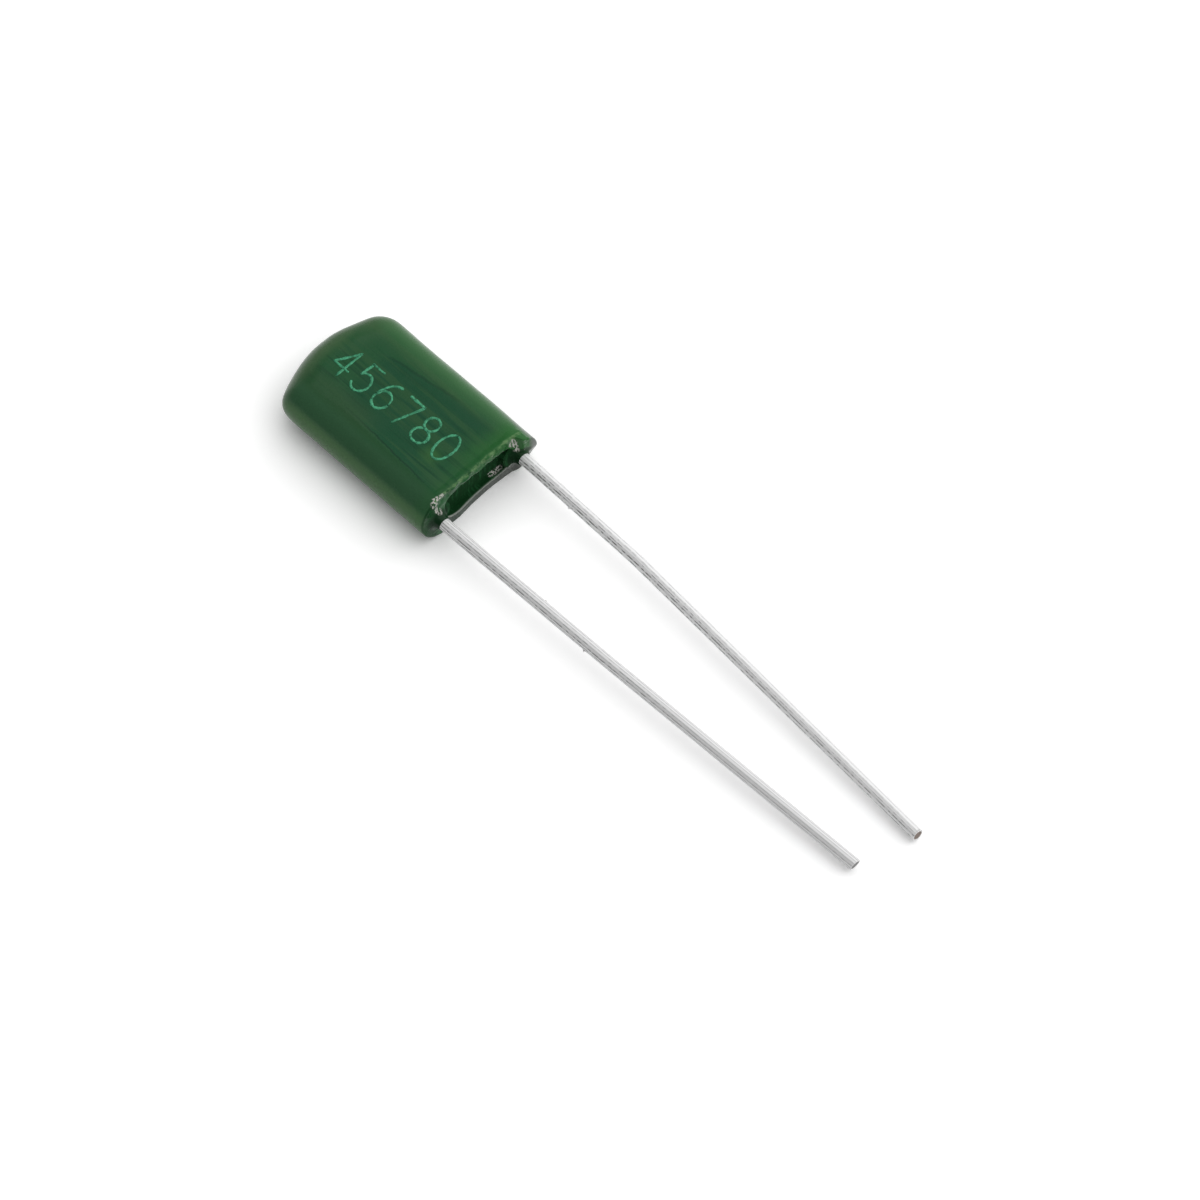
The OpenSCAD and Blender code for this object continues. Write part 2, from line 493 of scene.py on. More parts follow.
# Pulls the points onto the exact surface
def settleOn(field, points, rounds=3, probe=0.004, most=0.02, flattest=0.25):
    for _ in range(rounds):
        value = field(*points.T)
        slope = np.zeros_like(points)
        for axis in range(3):
            step = np.zeros(3)
            step[axis] = probe
            slope[:, axis] = (field(*(points + step).T) - field(*(points - step).T)) / (2 * probe)
        size = np.maximum((slope ** 2).sum(1), flattest)
        move = np.clip(value / size, -most, most)
        points = points - slope * move[:, None]
    return points


# Colours and finish of the resin
resinSet = {
    # Red, green and blue of each mark, and how strongly it covers what is under it
    "marks": {
        "base": (0.014, 0.086, 0.03, 1),
        "core": (0.008, 0.072, 0.029, 1),
        "paleStreak": (0.026, 0.094, 0.033, 0.65),
        "darkStreak": (0.003, 0.05, 0.02, 1),
        # Painted shade along the winding's edges, and a painted highlight on the shoulder beside the
        # lower one
        "windingEdgeShade": (0.003, 0.04, 0.017, 1),
        "shoulderHighlight": (0.03, 0.096, 0.038, 1),
        "olive": (0.027, 0.082, 0.032, 0.7),
        # Round edges: paler from thick resin, and partly painted light lifting their shade
        "side": (0.03, 0.13, 0.046, 0.75),
        # Painted light on the side towards the lamp
        "brightSide": (0.062, 0.17, 0.062, 0.7),
        # Painted light lifting the shaded side
        "shadeSide": (0.036, 0.11, 0.05, 1),
        # Painted bounce light along the lower outer edge
        "underEdge": (0.06, 0.16, 0.055, 1),
        # Painted reflection along the outer edge on the lamp's side
        "paleEdge": (0.15, 0.21, 0.14, 0.6),
        "farEdge": (0.074, 0.145, 0.066, 0.85),
        "leadEnd": (0.024, 0.13, 0.028, 1),
        "patch": (0.05, 0.16, 0.035, 0.5),
        "rim": (0.14, 0.27, 0.11, 1),
        # Dark resin in the recess, with painted shade
        "recess": (0.0015, 0.03, 0.006, 0.95),
        "recessStreak": (0.014, 0.09, 0.028, 0.6),
        # Lip face: a painted reflection of the floor, darker on the left
        "lipLeft": (0.035, 0.05, 0.04, 1),
        "lipRight": (0.1, 0.1, 0.098, 1),
        # Painted highlight along the lip's edge
        "lipHighlight": (0.33, 0.34, 0.32, 1),
        # Painted reflection on the face past the right lead
        "earSheen": (0.2, 0.195, 0.2, 1),
        # Painted shade on the left ear's end
        "leftEar": (0.006, 0.05, 0.013, 0.8),
        # Painted shade round the lead roots
        "root": (0.004, 0.024, 0.008, 0.85),
        # Bare metal with painted highlight
        "metalAndGlint": (0.66, 0.64, 0.6, 0.95),
    },
    # Where each mark begins and where it is full: along the body from the lead end, across it, in
    # height, or in the value of a noise
    "spans": {
        "upperFade": (-0.12, 0.2),
        "lowerFade": (-0.06, 0.08),
        "coreStart": (-6.3, -5.4),
        "coreStop": (-1.5, -0.5),
        "paleGrain": (0.46, 0.6),
        "darkGrain": (0.52, 0.64),
        "darkAcross": (1.4, -0.4),
        "upperLineStart": (-6.1, -5.5),
        "upperLineStop": (-3.2, -1.9),
        "lowerLineStart": (-5.9, -5.2),
        "lowerLineStop": (-1.2, -0.7),
        "foldStart": (-6.6, -5.0),
        "oliveAcross": (-0.7, -1.4),
        "oliveAlong": (-3.2, -5.2),
        "side": (2.38, 1.75),
        # Spans across the body of the painted light and painted reflection on the sides
        "brightSide": (1.2, 2.5),
        "shadeSide": (-1.75, -2.2),
        "underEdge": (-2.6, -2.8),
        "paleEdge": (2.45, 2.8),
        "farEnd": (-7.25, -8.0),
        "farAlong": (-6.3, -8.0),
        "farAcross": (0.2, 1.8),
        "leadEndAlong": (-1.0, -0.25),
        "leadEndAcross": (-1.6, 2.2),
        "patch": (0.15, 0.75),
        "crumbs": (0.36, 0.62),
        "rimHeight": (2.2, 2.34),
        "facing": (0.3, 0.7),
        "front": (-0.5, -0.42),
        "lowerHalf": (1.5, 1.0),
        "proud": (-0.07, -0.02),
        "recessEdge": (0.03, -0.03),
        "recessFoot": (0.14, 0.08),
        "recessGrain": (0.48, 0.62),
        "lipEdge": (0.0, 0.04),
        "lipAcross": (-2.0, -1.6),
        "lipTone": (-1.4, 1.4),
        "earOut": (0.16, 0.26),
        "earAlong": (-1.4, -0.1),
        "earAcross": (2.35, 2.7),
        "leftEarOut": (-0.12, -0.04),
        "leftEarAcross": (-2.1, -2.3),
        "rootAround": (0.6, 0.42),
        "rootAlong": (-0.2, -0.02),
        "flakes": (0.46, 0.53),
        "bareAlong": (-0.42, -0.36),
        "gloss": (0.3, 0.7),
    },
    # What is left of a mark at the two ends of its span, where that isn't none and all
    "shares": {
        "darkAcross": (0.3, 0.65),
        "farAcross": (0, 0.8),
        "leadEndAcross": (0.2, 0.8),
        "lipAcross": (0, 0.9),
        "earOut": (0, 0.8),
        "earAlong": (0, 0.6),
    },
    # Thin lines: shift, half width and cover, and the share of the width that is solid
    "lines": {
        "upperLine": (0.0, 0.09, 0.5),
        "lowerLine": (0.02, 0.06, 0.8),
        # Painted highlight on the shoulder
        "shoulderHighlight": (0.2, 0.2, 0.6),
        "rim": (0.05, 0.09, 0.8),
        "lipHighlight": (-0.02, 0.05, 0.8),
    },
    "lineSolid": 0.2,
    # Stretched noises: scale along, across and up, and detail
    "grains": {
        "pale": ((0.16, 2.6, 2.6), 4),
        "dark": ((0.2, 4.2, 4.2), 3),
        "recess": ((1.0, 5.0, 0.9), 3),
        "flakes": ((14.0, 14.0, 5.0), 3),
    },
    "grainRoughness": 0.6,
    # Even noises: scale, detail and roughness
    "noises": {"crumbs": (4.2, 4, 0.7), "bump": (9.0, 3, 0.5), "gloss": (2.3, 3, 0.5)},
    # Wobbles of the marks' edges: scale and size
    "wobbles": {"broad": (0.7, 1.0), "fine": (3.5, 0.16)},
    # Edges of the winding, which shows through: distance from the middle line at the lead end, and slope
    "windingEdges": {"upper": (2.0, 0.147), "lower": (1.91, 0.066)},
    "strayPatch": (xEnd - 1.6, -0.75, 2.4),
    # Places on the lead end where bare metal and painted highlights show, as short bars with a half width
    "glints": [
        ((xEnd - 0.08, -2.17, 2.38), (xEnd + 0.06, -1.75, 2.38), 0.14),
        ((xEnd + 0.02, -2.19, 2.19), (xEnd + 0.02, -1.85, 0.85), 0.19),
        ((xEnd + 0.05, -1.65, 0.7), (xEnd + 0.05, -1.6, 0.78), 0.1),
        ((xEnd + 0.05, 1.84, 2.13), (xEnd + 0.1, 2.15, 1.4), 0.21),
        ((xEnd + 0.25, 2.2, 1.6), (xEnd + 0.33, 2.4, 1.15), 0.1),
        ((xEnd - 0.31, 1.0, 0.56), (xEnd - 0.31, 1.5, 0.48), 0.17),
    ],
    "specular": 0.12,
    "ior": 1.5,
    "roughness": (0.2, 0.3),
    "recessRoughness": 0.9,
    # Strength and depth
    "bump": (0.05, 0.1),
}


# Distance from a bar between two points, eased towards its ends
def barReach(tree, here, start, stop):
    along = Vector(stop) - Vector(start)
    offset = vectorMath(tree, "SUBTRACT", here, start)["Vector"]
    share = vectorMath(tree, "DOT_PRODUCT", offset, along)["Value"]
    share = rampNode(tree, mathNode(tree, "DIVIDE", share, along.length_squared), 0, 1)
    foot = addNode(tree, "ShaderNodeVectorMath", {0: along, "Scale": share}, operation="SCALE")
    return vectorMath(tree, "DISTANCE", offset, foot.outputs["Vector"])["Value"]


def coatMaterial():
    material, tree = newMaterial("greenResin")
    here = objectInMm(tree)
    x, y, z = partsOf(tree, here)
    span = mathNode(tree, "SUBTRACT", x, xEnd)
    times, plus, larger = nodeSums(tree)

    def length(a, b):
        return mathNode(tree, "SQRT", plus(times(a, a), times(b, b)))

    def within(value, key, *shares):
        shares = shares or resinSet["shares"].get(key, (0, 1))
        return rampNode(tree, value, *resinSet["spans"][key], *shares)

    def line(value, key):
        shift, half, cover = resinSet["lines"][key]
        off = mathNode(tree, "ABSOLUTE", plus(value, shift))
        return rampNode(tree, off, half * resinSet["lineSolid"], half, cover, 0)

    def noise(key):
        return noiseNode(tree, here, *resinSet["noises"][key])

    def wobble(key):
        scale, size = resinSet["wobbles"][key]
        return times(plus(noiseNode(tree, here, scale), -0.5), size)

    def grain(key):
        stretch, detail = resinSet["grains"][key]
        return noiseNode(tree, objectInMm(tree, stretch), 1.0, detail, resinSet["grainRoughness"])

    def resin(key):
        return rgb(*resinSet["marks"][key][:3])

    def covered(mask, key):
        return times(mask, resinSet["marks"][key][3])

    def tint(colour, mask, key):
        return mixColour(tree, covered(mask, key), colour, resin(key))

    broad, fine = wobble("broad"), wobble("fine")
    across = plus(y, fine)
    along = plus(span, broad)
    # The winding shows dark through the resin
    place, slope = resinSet["windingEdges"]["upper"]
    upperEdge = mathNode(tree, "SUBTRACT", across, plus(times(span, slope), place))
    place, slope = resinSet["windingEdges"]["lower"]
    lowerEdge = plus(across, times(span, slope), place)
    core = times(within(upperEdge, "upperFade", 1, 0), within(lowerEdge, "lowerFade"))
    core = times(core, within(along, "coreStart"), within(along, "coreStop", 1, 0))
    colour = tint(resin("base"), core, "core")
    # Brush-like streaks along the body
    colour = tint(colour, within(grain("pale"), "paleGrain"), "paleStreak")
    dark = times(within(grain("dark"), "darkGrain"), within(y, "darkAcross"))
    colour = tint(colour, dark, "darkStreak")
    # Fine dark lines of painted shade along the low ridges at the edges of the winding, and a painted
    # highlight on the shoulder beside the lower one
    windingEdgeShade = 0.0
    for edge, key in ((upperEdge, "upperLine"), (lowerEdge, "lowerLine")):
        shown = times(within(span, key + "Start"), within(span, key + "Stop", 1, 0))
        windingEdgeShade = plus(windingEdgeShade, times(line(edge, key), shown))
    colour = tint(colour, windingEdgeShade, "windingEdgeShade")
    shoulderHighlight = times(line(lowerEdge, "shoulderHighlight"), within(span, "foldStart"))
    colour = tint(colour, shoulderHighlight, "shoulderHighlight")
    olive = times(within(y, "oliveAcross"), within(along, "oliveAlong"))
    colour = tint(colour, olive, "olive")
    # The round edges are paler, partly from thick resin and partly painted light that lifts their shade,
    # and the arched end is paler from thick resin
    colour = tint(colour, within(z, "side"), "side")
    # Painted light on the sides: lighter towards the lamp, the shaded side lifted, a painted bounce along
    # the lower edge and a painted reflection along the outer edge
    for key in ("brightSide", "shadeSide", "underEdge", "paleEdge"):
        colour = tint(colour, within(y, key), key)
    farSide = times(within(span, "farAlong"), within(y, "farAcross"))
    colour = tint(colour, larger(within(span, "farEnd"), farSide), "farEdge")
    # Yellow-green near the lead end, with one stray patch, and a pale broken rim
    leadEnd = times(within(along, "leadEndAlong"), within(y, "leadEndAcross"))
    colour = tint(colour, leadEnd, "leadEnd")
    patch = vectorMath(tree, "DISTANCE", here, resinSet["strayPatch"])["Value"]
    colour = tint(colour, within(plus(patch, broad), "patch", 1, 0), "patch")
    square = plus(span, -coatSet["endLift"])
    crumbs = within(noise("crumbs"), "crumbs")
    rim = times(line(plus(square, fine), "rim"), within(z, "rimHeight"), crumbs)
    colour = tint(colour, rim, "rim")
    # Dark recess, dark resin with painted shade in it; a painted highlight along the edge of the lower
    # lip; and a painted reflection of the floor, grey, on the lip and past the right lead
    normal = addNode(tree, "ShaderNodeNewGeometry").outputs["Normal"]
    facing = within(partsOf(tree, normal)["X"], "facing")
    front = within(square, "front")
    lower = times(front, within(z, "lowerHalf"))
    draw = times(plus(y, -coatSet["hollowMiddle"]), 1 / coatSet["hollowHalf"])
    draw = larger(mathNode(tree, "SUBTRACT", 1.0, times(draw, draw)), 0.0)
    proud = within(plus(square, times(draw, coatSet["hollowDepth"])), "proud")
    aside = mathNode(tree, "ABSOLUTE", plus(y, -coatSet["recessMiddle"]))
    aside = larger(plus(aside, (coatSet["recessThick"] - coatSet["recessWidth"]) / 2), 0.0)
    height = plus(z, -halfThick - coatSet["recessLift"])
    recess = plus(length(aside, height), -coatSet["recessThick"] / 2)
    behind = mathNode(tree, "SUBTRACT", 1.0, proud)
    inside = larger(within(recess, "recessEdge"), times(behind, within(recess, "recessFoot")))
    inside = times(front, inside)
    # Dark resin with painted shade in the recess
    deep = tint(resin("recess"), within(grain("recess"), "recessGrain"), "recessStreak")
    colour = mixColour(tree, covered(inside, "recess"), colour, deep)
    lip = times(lower, proud)
    # Painted reflection of the floor on the lip's face, greyer to the right
    lipSheen = times(lip, facing, within(recess, "lipEdge"), within(y, "lipAcross"))
    lipTone = tint(resin("lipLeft"), within(y, "lipTone"), "lipRight")
    colour = mixColour(tree, lipSheen, colour, lipTone)
    # Painted highlight along the lip's edge
    colour = tint(colour, times(lip, line(recess, "lipHighlight")), "lipHighlight")
    # Painted reflection past the right lead
    earSheen = larger(within(span, "earOut"), within(span, "earAlong"))
    colour = tint(colour, times(earSheen, within(y, "earAcross")), "earSheen")
    # Painted shade on the end of the left ear
    colour = tint(colour, times(within(square, "leftEarOut"), within(y, "leftEarAcross")), "leftEar")
    # Painted shade round the root of each lead
    for side in (-1, 1):
        root = length(plus(y, -side * leadY), plus(z, -halfThick))
        root = times(within(plus(root, fine), "rootAround"), within(square, "rootAlong"))
        colour = tint(colour, root, "root")
    # Pale silver at the roots of the leads: partly bare metal through the broken resin and partly painted
    # highlight
    bare = 0.0
    for start, stop, size in resinSet["glints"]:
        reach = plus(barReach(tree, here, start, stop), fine)
        bare = plus(bare, rampNode(tree, reach, size / 2, size, 1, 0))
    bare = mathNode(tree, "MINIMUM", bare, 1.0)
    bare = times(bare, within(grain("flakes"), "flakes"), within(square, "bareAlong"))
    colour = tint(colour, bare, "metalAndGlint")
    gloss = within(noise("gloss"), "gloss", *resinSet["roughness"])
    finish = {
        "Base Color": colour,
        "Roughness": larger(gloss, times(inside, resinSet["recessRoughness"])),
        "Normal": bumpNode(tree, noise("bump"), *resinSet["bump"]),
        "IOR": resinSet["ior"],
        "Specular IOR Level": resinSet["specular"],
    }
    finishWith(tree, finish)
    return material


def addCoat():
    margin = coatSet["margin"]
    bodySteps, sideSteps = coatSet["bodySteps"], coatSet["sideSteps"]
    reach = coatSet["rootReach"]
    roots = [(side * leadY - reach, side * leadY + reach) for side in (-1, 1)]
    leadEnd = [(xEnd - coatSet["endReach"], math.inf)]
    middle = [(halfThick - coatSet["middleReach"], halfThick + coatSet["middleReach"])]
    wide = coatHigh[1] + margin
    lines = [
        gridLines(xFar - margin, coatHigh[0] + margin, leadEnd, *bodySteps),
        gridLines(-wide, wide, roots, *sideSteps),
        gridLines(-margin, coatHigh[2] + margin, middle, *sideSteps),
    ]
    points, faces = surfaceOf(coatField, lines)
    points = settleOn(coatField, points)
    coat = meshPiece("resinCoat", points, faces, coatMaterial())
    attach(coat, "root")
    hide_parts("resin_coat")
    print("coat:", len(points), "points,", len(faces), "faces")


addCoat()

# Tinned wires: a flattened tab in the winding, a bent round run and a sheared tip
leadSet = {
    "radius": coatSet["wireRadius"],
    "exitRun": 1.0,
    "bendRadius": 12.0,
    "tabWidth": 0.7,
    "tabThick": 0.28,
    "tabLength": 5.0,
    "tabSquare": 6,
    "tabRings": 7,
    "tabLeast": 0.05,
    "tabStations": (2.0, 0.2),
    "sides": 64,
    "step": 0.045,
    "bendPoints": 9,
    "waver": 0.0015,
    "waverStretch": (0.8, 3),
    "waverStart": (0.6, 1.2),
    "barbHeight": 0.07,
    "barbSize": 0.07,
    # Distance from the tip and size of each ring that rolls over the cut rim
    "tipRings": [
        (-0.03, 1.0),
        (-0.012, 0.99),
        (0.0, 0.94),
        (-0.004, 0.8),
        (-0.012, 0.66),
        (-0.014, 0.4),
        (-0.012, 0.15),
    ],
}
# Bends and tips are distances past the lead end, drifts towards the other lead and heights. Barbs are
# distances past the lead end and angles round the wire. Scores fade between two distances along the
# wire, from one depth to another
leadRoutes = {
    "left": {
        "side": -1,
        "bend": (9.0, 0.22, 0.92),
        "tip": (21.25, 0.74, 0.38),
        "seed": 11,
        "shear": (0.02, 0.03),
        "barbs": [(5.5, 25), (7.9, 205)],
        # Tones darker than the right lead's, as painted shade
        "pale": 0.9,
        "dull": 0.67,
        "core": (0.13, 0.125, 0.12),
        "scored": (10.0, 15.0, 0.8, 0.25),
    },
    "right": {
        "side": 1,
        "bend": (6.5, 0.03, 0.94),
        "tip": (21.97, 0.87, 0.34),
        "seed": 12,
        "shear": (0.0, -0.02),
        "barbs": [(3.1, 205)],
        # Tones paler than the left lead's, as painted light
        "pale": 0.94,
        "dull": 0.75,
        "core": (0.17, 0.12, 0.095),
        "scored": (8.0, 15.0, 1.2, 0.7),
    },
}


def routePoint(route, stop):
    reach, drift, height = stop
    return np.array([xEnd + reach, route["side"] * (leadY - drift), height])


# Points spread evenly along a run of points, and how far along it each of them is
def spreadAlong(run, step, extra=0, least=4):
    steps = np.linalg.norm(np.diff(run, axis=0), axis=1)
    length = np.concatenate([[0], np.cumsum(steps)])
    spots = np.linspace(0, length[-1], max(int(length[-1] / step) + extra, least))
    return np.stack([np.interp(spots, length, column) for column in run.T], -1), spots


# Direction of a run at each of its points
def headings(line):
    ahead = np.gradient(line, axis=0)
    return ahead / np.linalg.norm(ahead, axis=1)[:, None]


# Middle line of a wire as closely spaced points, with an arc at each corner
def middleLine(corners):
    points = [corners[0]]
    bendRadius = leadSet["bendRadius"]
    for before, corner, after in zip(corners, corners[1:], corners[2:]):
        come = (corner - before) / np.linalg.norm(corner - before)
        leave = (after - corner) / np.linalg.norm(after - corner)
        turn = math.acos(np.clip(come @ leave, -1, 1))
        reach = bendRadius * math.tan(turn / 2)
        inward = (leave - come * (come @ leave)) / math.sin(turn)
        centre = corner - come * reach + inward * bendRadius
        for angle in np.linspace(0, turn, leadSet["bendPoints"]):
            points.append(centre + bendRadius * (come * math.sin(angle) - inward * math.cos(angle)))
    points.append(corners[-1])
    return spreadAlong(np.array(points), leadSet["step"], extra=1)


def leadPoints(route):
    start = np.array([xSeat, route["side"] * leadY, halfThick])
    stops = ((leadSet["exitRun"], 0, halfThick), route["bend"], route["tip"])
    line, spots = middleLine([start] + [routePoint(route, stop) for stop in stops])
    ahead = headings(line)
    angles = np.linspace(0, 2 * math.pi, leadSet["sides"], endpoint=False)
    radius = leadSet["radius"]
    rings, drawn, cut = [], [], []

    # Dents along the wire, and a few barbs where it was nicked
    def outline(along):
        c, s = np.cos(angles), np.sin(angles)
        stretch, around = leadSet["waverStretch"]
        dent = latticeNoise(0 * c + along * stretch, around * c, around * s, 1.0, route["seed"])
        size = 1 + leadSet["waver"] * dent / radius * smoothStep(along, *leadSet["waverStart"])
        for place, angle in route["barbs"]:
            turn = np.angle(np.exp(1j * (angles - math.radians(angle)))) * radius
            far = (along - (xEnd - xSeat) - place) ** 2 + turn ** 2
            barb = np.exp(-far / (leadSet["barbSize"] / 2) ** 2)
            size = size + leadSet["barbHeight"] / radius * barb
        return size

    # One ring of points, round for a power of 2 and squarer above it
    def addRing(centre, direction, halves, along, power=2, lean=(0, 0), inward=0.0, size=1.0):
        across = np.cross([0, 0, 1], direction)
        across /= np.linalg.norm(across)
        upward = np.cross(direction, across)
        c, s = np.cos(angles), np.sin(angles)
        side = np.sign(c) * np.abs(c) ** (2 / power) * halves[0] * size
        top = np.sign(s) * np.abs(s) ** (2 / power) * halves[1] * size
        slant = (side * lean[0] + top * lean[1]) / radius
        ring = centre + np.outer(side, across) + np.outer(top, upward) + np.outer(slant, direction)
        rings.append(ring)
        drawn.append(np.stack([np.full_like(c, along), c * radius, s * radius], -1))
        cut.append(np.full_like(c, inward))

    # Flattened tab, from its round inner end out to the wire
    half, thin = leadSet["tabWidth"] / 2, leadSet["tabThick"] / 2
    for share in np.cos(np.linspace(0, math.pi / 2, leadSet["tabRings"])):
        width = half * max(math.sqrt(1 - share ** 2), leadSet["tabLeast"])
        place = start - [leadSet["tabLength"] - half + half * share, 0, 0]
        addRing(place, ahead[0], (width, thin), place[0] - start[0], leadSet["tabSquare"])
    for back in leadSet["tabStations"]:
        addRing(start - [back, 0, 0], ahead[0], (half, thin), -back, leadSet["tabSquare"])
    for centre, direction, along in zip(line[:-1], ahead, spots):
        addRing(centre, direction, (radius, radius), along, size=outline(along))
    # Sheared tip: the last rings lean, roll over the rim and close on the cut face
    for pull, size in leadSet["tipRings"]:
        place = line[-1] + ahead[-1] * pull
        addRing(place, ahead[-1], [radius * size] * 2, spots[-1], lean=route["shear"], inward=1 - size)
    return np.array(rings), np.array(drawn), np.array(cut)


def addLead(key):
    rings, drawn, cut = leadPoints(leadRoutes[key])
    count, sides = rings.shape[:2]
    points = np.concatenate([rings.reshape(-1, 3), [rings[0].mean(0)], [rings[-1].mean(0)]])
    drawn = np.concatenate([drawn.reshape(-1, 3), [drawn[0].mean(0)], [drawn[-1].mean(0)]])
    cut = np.concatenate([cut.ravel(), [0, 1]])
    faces = ringFaces(count, sides)
    for side in range(sides):
        after = (side + 1) % sides
        last = (count - 1) * sides
        faces.append((count * sides, after, side))
        faces.append((count * sides + 1, last + side, last + after))
    lead = meshPiece(key + "Lead", points, faces, tinMaterial(key))
    layer = lead.data.attributes.new("drawn", "FLOAT_VECTOR", "POINT")
    layer.data.foreach_set("vector", drawn.astype(np.float32).ravel())
    layer = lead.data.attributes.new("cutFace", "FLOAT", "POINT")
    layer.data.foreach_set("value", cut.astype(np.float32))
    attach(lead, "root")
    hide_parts(key + "_lead")
    print(key, "lead:", len(faces), "faces")


# Drawing lines of the tinned wires; noises are scale along and across the wire, detail and shift
tinSet = {
    "lines": 14,
    "wander": (0.0, 7.0, 0, 20.0),
    "wanderTurn": 3.0,
    "bands": (0.0, 12.0, 0, 0.0),
    "fade": (0.5, 9.0, 1, 80.0),
    "fadeDepth": 0.3,
    "waveDepth": 0.2,
    "paleSpan": (0.3, 0.62),
    "scoreSpan": (0.0, -0.7),
    "dashes": (4.2, 11.0, 1, 60.0),
    "dashSpan": (0.45, 0.54),
    # Painted shade: the dashes deepen low on the left side of each wire
    "shadeSideWeights": (0.9, 0.4),
    "shadeSideSpan": (0.35, -0.5),
    "shadeSideDepth": (0.2, 0.8),
    "scoreTone": 0.12,
    "bareSpan": (0.16, 0.34),
    "roughSpan": (0.3, 0.7),
    "roughness": (0.55, 0.38),
    "noiseRoughness": 0.6,
    "seedShift": 9.0,
    # Strength and depth
    "bump": (0.1, 0.004),
    "metallic": 0.15,
}
# Inputs that say how the dark dashes fade along a wire
fadeInputs = ("Fade Start", "Fade End", "First Depth", "Last Depth")


# Straight, uneven drawing lines on a wire, that fade in and out along it: one group for both wires
def drawingGroup():
    group = bpy.data.node_groups.new("drawingLines", "ShaderNodeTree")
    takes = {"Drawn": "Vector", "Dull": "Color", "Pale": "Color", "Shift": "Float"}
    takes.update({name: "Float" for name in fadeInputs})
    gives = {"Colour": "Color", "Roughness": "Float", "Height": "Float"}
    for way, sockets in (("INPUT", takes), ("OUTPUT", gives)):
        for name, kind in sockets.items():
            group.interface.new_socket(name, in_out=way, socket_type="NodeSocket" + kind)
    given = addNode(group, "NodeGroupInput").outputs
    length, across, height = partsOf(group, given["Drawn"])
    times, plus, _ = nodeSums(group)

    def drawnNoise(name):
        scale, wide, detail, shift = tinSet[name]
        place = addNode(group, "ShaderNodeCombineXYZ", {"X": plus(given["Shift"], shift)}).outputs[0]
        inputs = {"Vector": given["Drawn"], "Scale": (scale, wide, wide), "Location": place}
        vector = addNode(group, "ShaderNodeMapping", inputs).outputs["Vector"]
        return noiseNode(group, vector, 1.0, detail, tinSet["noiseRoughness"])

    around = mathNode(group, "ARCTAN2", height, across)
    wander = times(drawnNoise("wander"), tinSet["wanderTurn"])
    wave = mathNode(group, "SINE", plus(times(around, tinSet["lines"]), wander))
    fade = plus(times(drawnNoise("fade"), tinSet["fadeDepth"]), -tinSet["fadeDepth"] / 2)
    lines = plus(times(wave, tinSet["waveDepth"]), fade, drawnNoise("bands"))
    bright = rampNode(group, lines, *tinSet["paleSpan"])
    colour = mixColour(group, bright, given["Dull"], given["Pale"])
    # Dark dashes in the lines, fainter towards the tip, and made deepest low on the left side as painted
    # shade
    scores = rampNode(group, wave, *tinSet["scoreSpan"])
    dashes = rampNode(group, drawnNoise("dashes"), *tinSet["dashSpan"])
    low = plus(*(times(way, share) for way, share in zip((across, height), tinSet["shadeSideWeights"])))
    shadeSideSpan = [share * leadSet["radius"] for share in tinSet["shadeSideSpan"]]
    deep = rampNode(group, low, *shadeSideSpan, *tinSet["shadeSideDepth"])
    worn = rampNode(group, length, *(given[name] for name in fadeInputs))
    scores = times(scores, dashes, deep, worn)
    colour = mixColour(group, scores, colour, grey(tinSet["scoreTone"]))
    rough = rampNode(group, lines, *tinSet["roughSpan"], *tinSet["roughness"])
    addNode(group, "NodeGroupOutput", {"Colour": colour, "Roughness": rough, "Height": lines})
    return group


drawingLines = drawingGroup()


def tinMaterial(key):
    material, tree = newMaterial(key + "TinnedWire")
    route = leadRoutes[key]
    inputs = {
        "Drawn": addNode(tree, "ShaderNodeAttribute", attribute_name="drawn").outputs["Vector"],
        # Each lead's tones, which differ between the leads as painted light
        "Dull": grey(route["dull"]),
        "Pale": grey(route["pale"]),
        "Shift": tinSet["seedShift"] * route["seed"],
        **dict(zip(fadeInputs, route["scored"])),
    }
    skin = addNode(tree, "ShaderNodeGroup", inputs, node_tree=drawingLines).outputs
    # Bare metal on the cut face, inside a bright rolled rim
    cutFace = addNode(tree, "ShaderNodeAttribute", attribute_name="cutFace").outputs["Fac"]
    bare = rampNode(tree, cutFace, *tinSet["bareSpan"])
    finish = {
        "Base Color": mixColour(tree, bare, skin["Colour"], rgb(*route["core"])),
        "Roughness": skin["Roughness"],
        "Normal": bumpNode(tree, skin["Height"], *tinSet["bump"]),
        "Metallic": tinSet["metallic"],
    }
    finishWith(tree, finish)
    return material


for leadKey in leadRoutes:
    addLead(leadKey)


# Row of plain digits printed along the middle of the upper flat
markSet = {
    "digits": "456780",
    "start": -7.2,
    "base": -0.85,
    "advance": 1.08,
    "width": 0.72,
    "height": 1.33,
    "stroke": 0.105,
    "proud": 0.006,
    "sunk": 0.014,
    "step": 0.03,
    "arcStep": 7,
    "unevenLumps": (0.12, 21),
    "unevenShare": 0.4,
    "layerStep": 0.3,
    "capAngles": (50, 25),
    "patches": (4.5, 3, 0.65),
    "patchSpan": (0.36, 0.56),
    "speckles": (16.0, 2, 0.5),
    "speckleSpan": (0.35, 0.6),
    "speckleDepth": (0.55, 1.0),
    "wornInk": (0.02, 0.16, 0.074),
    "fullInk": (0.075, 0.41, 0.215),
    "roughness": 0.5,
    "specular": 0.3,
}


# Points of an ellipse's arc, with angles in degrees
def arcPoints(cx, cy, rx, ry, first, last):
    count = max(int(abs(last - first) / markSet["arcStep"]), 4)
    turn = np.radians(np.linspace(first, last, count))
    return [(cx + rx * math.cos(t), cy + ry * math.sin(t)) for t in turn]


